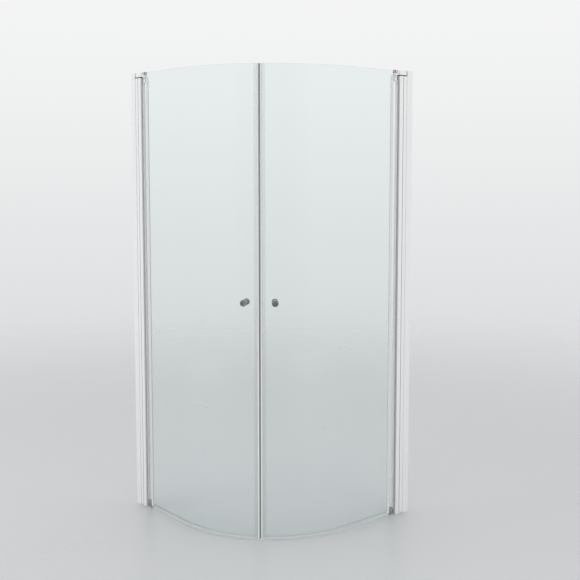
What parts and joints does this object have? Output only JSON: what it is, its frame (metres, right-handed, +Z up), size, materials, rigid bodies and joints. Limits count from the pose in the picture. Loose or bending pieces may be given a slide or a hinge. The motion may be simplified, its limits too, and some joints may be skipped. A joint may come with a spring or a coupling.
{
  "type": "quadrant shower enclosure",
  "caption": "Curved corner shower enclosure: bent clear glass doors hinged on wall profiles, swinging in and out, closed by magnetic strips.",
  "frame": {"origin": "on the floor, in the middle of the footprint's box", "axes": "+Z up; the left wall is the plane at the lowest X, the back wall the plane at the highest Y, and the curved front faces +X and -Y"},
  "size_m": [0.896, 0.896, 2],
  "materials": {
    "profile_aluminium": "bright satin",
    "white_plastic": "matt",
    "pale_rubber": "matt, with dark lips",
    "dark_plastic": "matt",
    "grey_plastic": "matt",
    "satin_steel": "satin",
    "stainless_steel": "fine turned",
    "chrome": "polished",
    "dark_chrome": "polished, dark plating",
    "clear_glass": "clear, faint green-blue tint",
    "clear_profile": "clear hard plastic",
    "clear_seal": "clear soft plastic",
    "bright_trim": "bright satin",
    "dark_magnet": "matt"
  },
  "bodies": {
    "root": {"left_wall_channel": "profile_aluminium", "left_channel_cap": "white_plastic", "left_clamp_screws": "stainless_steel", "left_hinge_post": "profile_aluminium", "left_post_seal": "pale_rubber", "left_top_bracket": "profile_aluminium", "left_top_spacer": "dark_plastic", "left_foot_bracket": "satin_steel", "left_pivot_cap": "chrome", "left_top_pin": "stainless_steel", "left_foot_pin": "stainless_steel", "left_top_screws": "stainless_steel", "left_foot_screws": "stainless_steel", "right_wall_channel": "profile_aluminium", "right_channel_cap": "white_plastic", "right_clamp_screws": "stainless_steel", "right_hinge_post": "profile_aluminium", "right_post_seal": "pale_rubber", "right_top_bracket": "profile_aluminium", "right_top_spacer": "dark_plastic", "right_foot_bracket": "satin_steel", "right_pivot_cap": "chrome", "right_top_pin": "stainless_steel", "right_foot_pin": "stainless_steel", "right_top_screws": "stainless_steel", "right_foot_screws": "stainless_steel"},
    "left_door": {"left_hinge_stile": "clear_profile", "left_top_bush": "white_plastic", "left_foot_bush": "grey_plastic", "left_glazing_gasket": "clear_seal", "left_glass": "clear_glass", "left_seal_carrier": "clear_seal", "left_magnet_holder": "bright_trim", "left_magnet_strip": "dark_magnet", "left_bottom_sweep": "clear_seal", "left_knob_outer": "dark_chrome", "left_knob_inner": "dark_chrome", "left_knob_grub_screw": "stainless_steel", "left_knob_stud": "stainless_steel", "left_knob_washers": "clear_seal"},
    "right_door": {"right_hinge_stile": "clear_profile", "right_top_bush": "white_plastic", "right_foot_bush": "grey_plastic", "right_glazing_gasket": "clear_seal", "right_glass": "clear_glass", "right_seal_carrier": "clear_seal", "right_magnet_holder": "bright_trim", "right_magnet_strip": "dark_magnet", "right_bottom_sweep": "clear_seal", "right_knob_outer": "dark_chrome", "right_knob_inner": "dark_chrome", "right_knob_grub_screw": "stainless_steel", "right_knob_stud": "stainless_steel", "right_knob_washers": "clear_seal"}
  },
  "joints": [
    {"name": "left_door_swing", "type": "hinge", "parent": "root", "child": "left_door", "pos_m": [-0.352, -0.432, 0], "axis": [0, 0, -1], "range_deg": [-80, 90]},
    {"name": "right_door_swing", "type": "hinge", "parent": "root", "child": "right_door", "pos_m": [0.432, 0.352, 0], "axis": [0, 0, 1], "range_deg": [-80, 90]}
  ]
}
